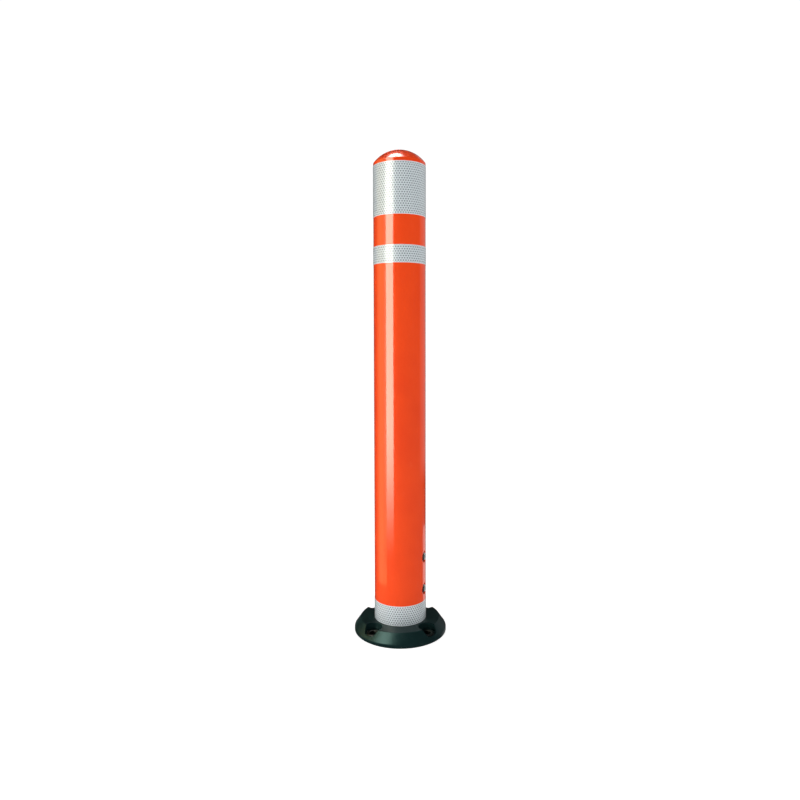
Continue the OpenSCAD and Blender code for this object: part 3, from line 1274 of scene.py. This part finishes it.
def makeGuide():
    g = guideShape
    low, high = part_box("rope_guide")
    edge, small = g["chamfer"], g["topChamfer"]
    outline = [(high.x, low.z + edge), (high.x - edge, low.z)]
    for a in [0] + quarterTurn(g["rings"]):
        outline.append((g["bore"] + g["mouth"] * (1 - math.sin(a)), low.z + g["mouth"] * (1 - math.cos(a))))
    outline += [(g["bore"], high.z - edge), (g["bore"] + edge, high.z)]
    outline += [(high.x - small, high.z), (high.x, high.z - small)]
    piece = turned("ropeGuide", outline, [finishes["insert_brass"]], 72)
    showAs(piece, "post", "rope_guide")


# flat rings and the spring's top disc, which has a spigot inside the coils
discShape = {
    "seatBore": 6 * mm,
    "washerBore": 3.3 * mm,
    "retainerBore": 3.4 * mm,
    "spigotRadius": 16.2 * mm,
    "flangeThickness": 8 * mm,
    "ease": 0.4 * mm,
}


def makeDisc(name, node, body, slot, bore, spigot=None):
    low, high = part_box(node)
    ease = discShape["ease"]
    start = (bore, (low.z + high.z) / 2)
    lower = [(high.x, low.z, ease)]
    if spigot:
        shoulder = high.z - discShape["flangeThickness"]
        lower = [(spigot, low.z, 2 * ease), (spigot, shoulder, ease), (high.x, shoulder, ease)]
    corners = [start, (bore, low.z, ease), *lower, (high.x, high.z, ease), (bore, high.z, ease), start]
    piece = turned(name, eased(corners, 3)[:-1], [finishes[slot]])
    showAs(piece, body, node)


def makeInnerPieces():
    d = discShape
    makeAnchorPlate()
    makePlateScrews()
    makeBoss()
    makeSwagedSleeve("ropeEndSleeve", "rope_end", "base", 2)
    makeSwagedSleeve("ropeStopSleeve", "rope_stop", "retainer", 4)
    makeCarrier()
    makeInserts()
    makeGuide()
    makeDisc("springSeat", "spring_seat", "post", "plate_steel", d["seatBore"])
    makeDisc("stopWasher", "stop_washer", "retainer", "bright_steel", d["washerBore"])
    bore, spigot = d["retainerBore"], d["spigotRadius"]
    makeDisc("springRetainer", "spring_retainer", "retainer", "carrier_nylon", bore, spigot)


makeBase()
makeAnchorBushes()
print("base made")
makeTube()
makeCap()
makeSideScrews()
print("tube, cap and side screws made")
makeBand("upperBand", "upper_band")
makeBand("middleBand", "middle_band")
makeBand("footBand", "foot_band")
print("reflective bands made")
makeRopes()
makeSpring()
makeInnerPieces()
print("inner pieces made")


# studio: a pale floor, white surroundings, soft lamps, and glowing cards that only show as reflections
studio = {
    "floorRadius": 40,
    "floorGlow": 0.6,
    "backdrop": 1.05,
    "surround": 0.45,
    "darkSurround": 0.04,
}
# azimuths are counted in degrees from the camera's side towards the left
lamps = {
    "key": {"azimuth": 62, "distance": 1.5, "low": 0.0, "high": 0.6, "width": 1.2, "power": 7.8,
            "colour": (1, 0.98, 0.95)},
    "fill": {"azimuth": -60, "distance": 2.6, "low": 0.1, "high": 1.8, "width": 1.2, "power": 13,
             "colour": (0.97, 0.98, 1)},
    "footLight": {"azimuth": 60, "distance": 0.45, "low": 0.0, "high": 0.12, "width": 0.3, "power": 0.4,
                  "colour": (1, 1, 1)},
}
overhead = {"height": 2.0, "width": 0.9, "power": 5.5}
cards = {
    "strip": {"first": 27, "last": 76, "distance": 0.5, "low": -0.05, "high": 1.05, "glow": 11.0,
              "colour": (1.0, 0.96, 0.80), "fadeTurn": 22, "fadeLow": 0.32},
    "stripEdge": {"first": 60, "last": 125, "distance": 0.5, "low": -0.1, "high": 1.05, "glow": 1.65,
                  "colour": (1, 0.80, 0.32), "fadeTurn": 40, "fadeLow": 0},
    "sideCard": {"first": -100, "last": -165, "distance": 1.0, "low": 0.0, "high": 1.6, "glow": 0.35,
                 "colour": (1, 1, 1), "fadeTurn": 0, "fadeLow": 0.1},
    "lowCard": {"first": -122, "last": -152, "distance": 1.0, "low": -0.45, "high": -0.12, "glow": 0.9,
                "colour": (1, 1, 1), "fadeTurn": -8, "fadeLow": 0.06},
}
topCard = {"centre": (-0.10, 0.0, 1.25), "halfWide": 0.20, "halfDeep": 0.22, "glow": 15.0,
           "colour": (1, 0.97, 0.92), "clear": 0.15}


def makeFloor():
    mesh = bpy.data.meshes.new("floor")
    work = bmesh.new()
    bmesh.ops.create_circle(work, cap_ends=True, segments=96, radius=studio["floorRadius"])
    work.to_mesh(mesh)
    work.free()
    floor = linked("floor", mesh)
    f = Finish("pale floor")
    tone = f.mix(f.noise(0.4, 2), (0.93, 0.93, 0.93), (0.95, 0.95, 0.95))
    f.set(Base_Color=tone, Roughness=0.9, Specular_IOR_Level=0.0)
    f.set(Emission_Color=(1, 1, 1), Emission_Strength=studio["floorGlow"])
    mesh.materials.append(f.material)
    floor.visible_glossy = False


# a white backdrop whose light reaches matt surfaces fully and glossy ones hardly at all
def makeWorld():
    world = bpy.data.worlds.new("studio")
    bpy.context.scene.world = world
    world.use_nodes = True
    g = Graph(world.node_tree)
    seen = g.node("ShaderNodeLightPath", {}, {}, "Is Camera Ray")
    glossy = g.node("ShaderNodeLightPath", {}, {}, "Is Glossy Ray")
    matt = studio["surround"]
    strength = matt + seen * (studio["backdrop"] - matt) - glossy * (matt - studio["darkSurround"])
    back = world.node_tree.nodes["Background"]
    g.plug(back.inputs["Color"], (1, 1, 1))
    g.plug(back.inputs["Strength"], strength)


def towards(azimuth, distance):
    # a place that far from the post in the azimuth's direction, given in radians
    return -math.sin(azimuth) * distance, -math.cos(azimuth) * distance


def makeLamp(name, power, width, place):
    data = bpy.data.lights.new(name, "AREA")
    data.energy = power
    data.size = width
    lamp = linked(name, data)
    lamp.matrix_world = place
    lamp.visible_glossy = False
    lamp.visible_camera = False
    return data


def makePanel(name, azimuth, distance, low, high, width, power, colour):
    # a flat light that stands upright and faces the post
    turn = math.radians(azimuth)
    facing = Matrix.Rotation(-turn, 4, "Z") @ Matrix.Rotation(math.radians(90), 4, "X")
    middle = (*towards(turn, distance), (low + high) / 2)
    data = makeLamp(name, power, width, Matrix.Translation(middle) @ facing)
    data.shape = "RECTANGLE"
    data.size_y = high - low
    data.color = colour


def makeReflected(name, skin, f, tint, glow):
    # a card that lights nothing and shows only in glossy surfaces
    f.set(Base_Color=(0, 0, 0), Emission_Color=tint, Emission_Strength=glow, Specular_IOR_Level=0.0)
    card = skin.piece(name, [f])
    card.visible_camera = False
    card.visible_diffuse = False
    card.visible_transmission = False
    card.visible_shadow = False
    f.material.cycles.emission_sampling = "NONE"


def makeCard(name, first, last, distance, low, high, glow, colour, fadeTurn, fadeLow):
    # a curved card round the post from one azimuth to another, fading towards its last side and its foot
    skin = Skin()
    turns = [math.radians(first + (last - first) * k / 16) for k in range(17)]
    foot, head = [skin.ring([(*towards(t, distance), z) for t in turns]) for z in (low, high)]
    skin.join(foot, head, closed=False)
    f = Finish(name)
    x, y, z = f.split(f.place())
    strength = 1.0
    if fadeTurn:
        turn = f.maths("ARCTAN2", x * -1, y * -1)
        strength = f.between(turn, math.radians(last), math.radians(last - fadeTurn))
    if fadeLow:
        strength = f.between(z, low, low + fadeLow) * strength
    makeReflected(name, skin, f, f.mix(strength, (0, 0, 0), colour), glow)


def makeTopCard():
    # a glowing oval over the post that fades towards its rim
    c = topCard
    centreX, centreY, height = c["centre"]
    skin = Skin()
    rim = [(centreX + c["halfWide"] * math.cos(t), centreY + c["halfDeep"] * math.sin(t), height)
           for t in fullTurn(48)]
    skin.face(skin.ring(rim))
    f = Finish("topCard")
    x, y = f.split(f.place())[:2]
    across = (x - centreX) * (1 / c["halfWide"])
    along = (y - centreY) * (1 / c["halfDeep"])
    glowing = f.between(across * across + along * along, 1.0, c["clear"])
    makeReflected("topCard", skin, f, f.mix(glowing, (0, 0, 0), c["colour"]), c["glow"])


def makeLights():
    for name, values in lamps.items():
        makePanel(name, **values)
    above = Matrix.Translation((0, 0, overhead["height"]))
    makeLamp("overhead", overhead["power"], overhead["width"], above)
    for name, values in cards.items():
        makeCard(name, **values)
    makeTopCard()


makeCamera()
makeFloor()
makeWorld()
makeLights()
bpy.context.scene.view_settings.view_transform = "Standard"
print("studio set")
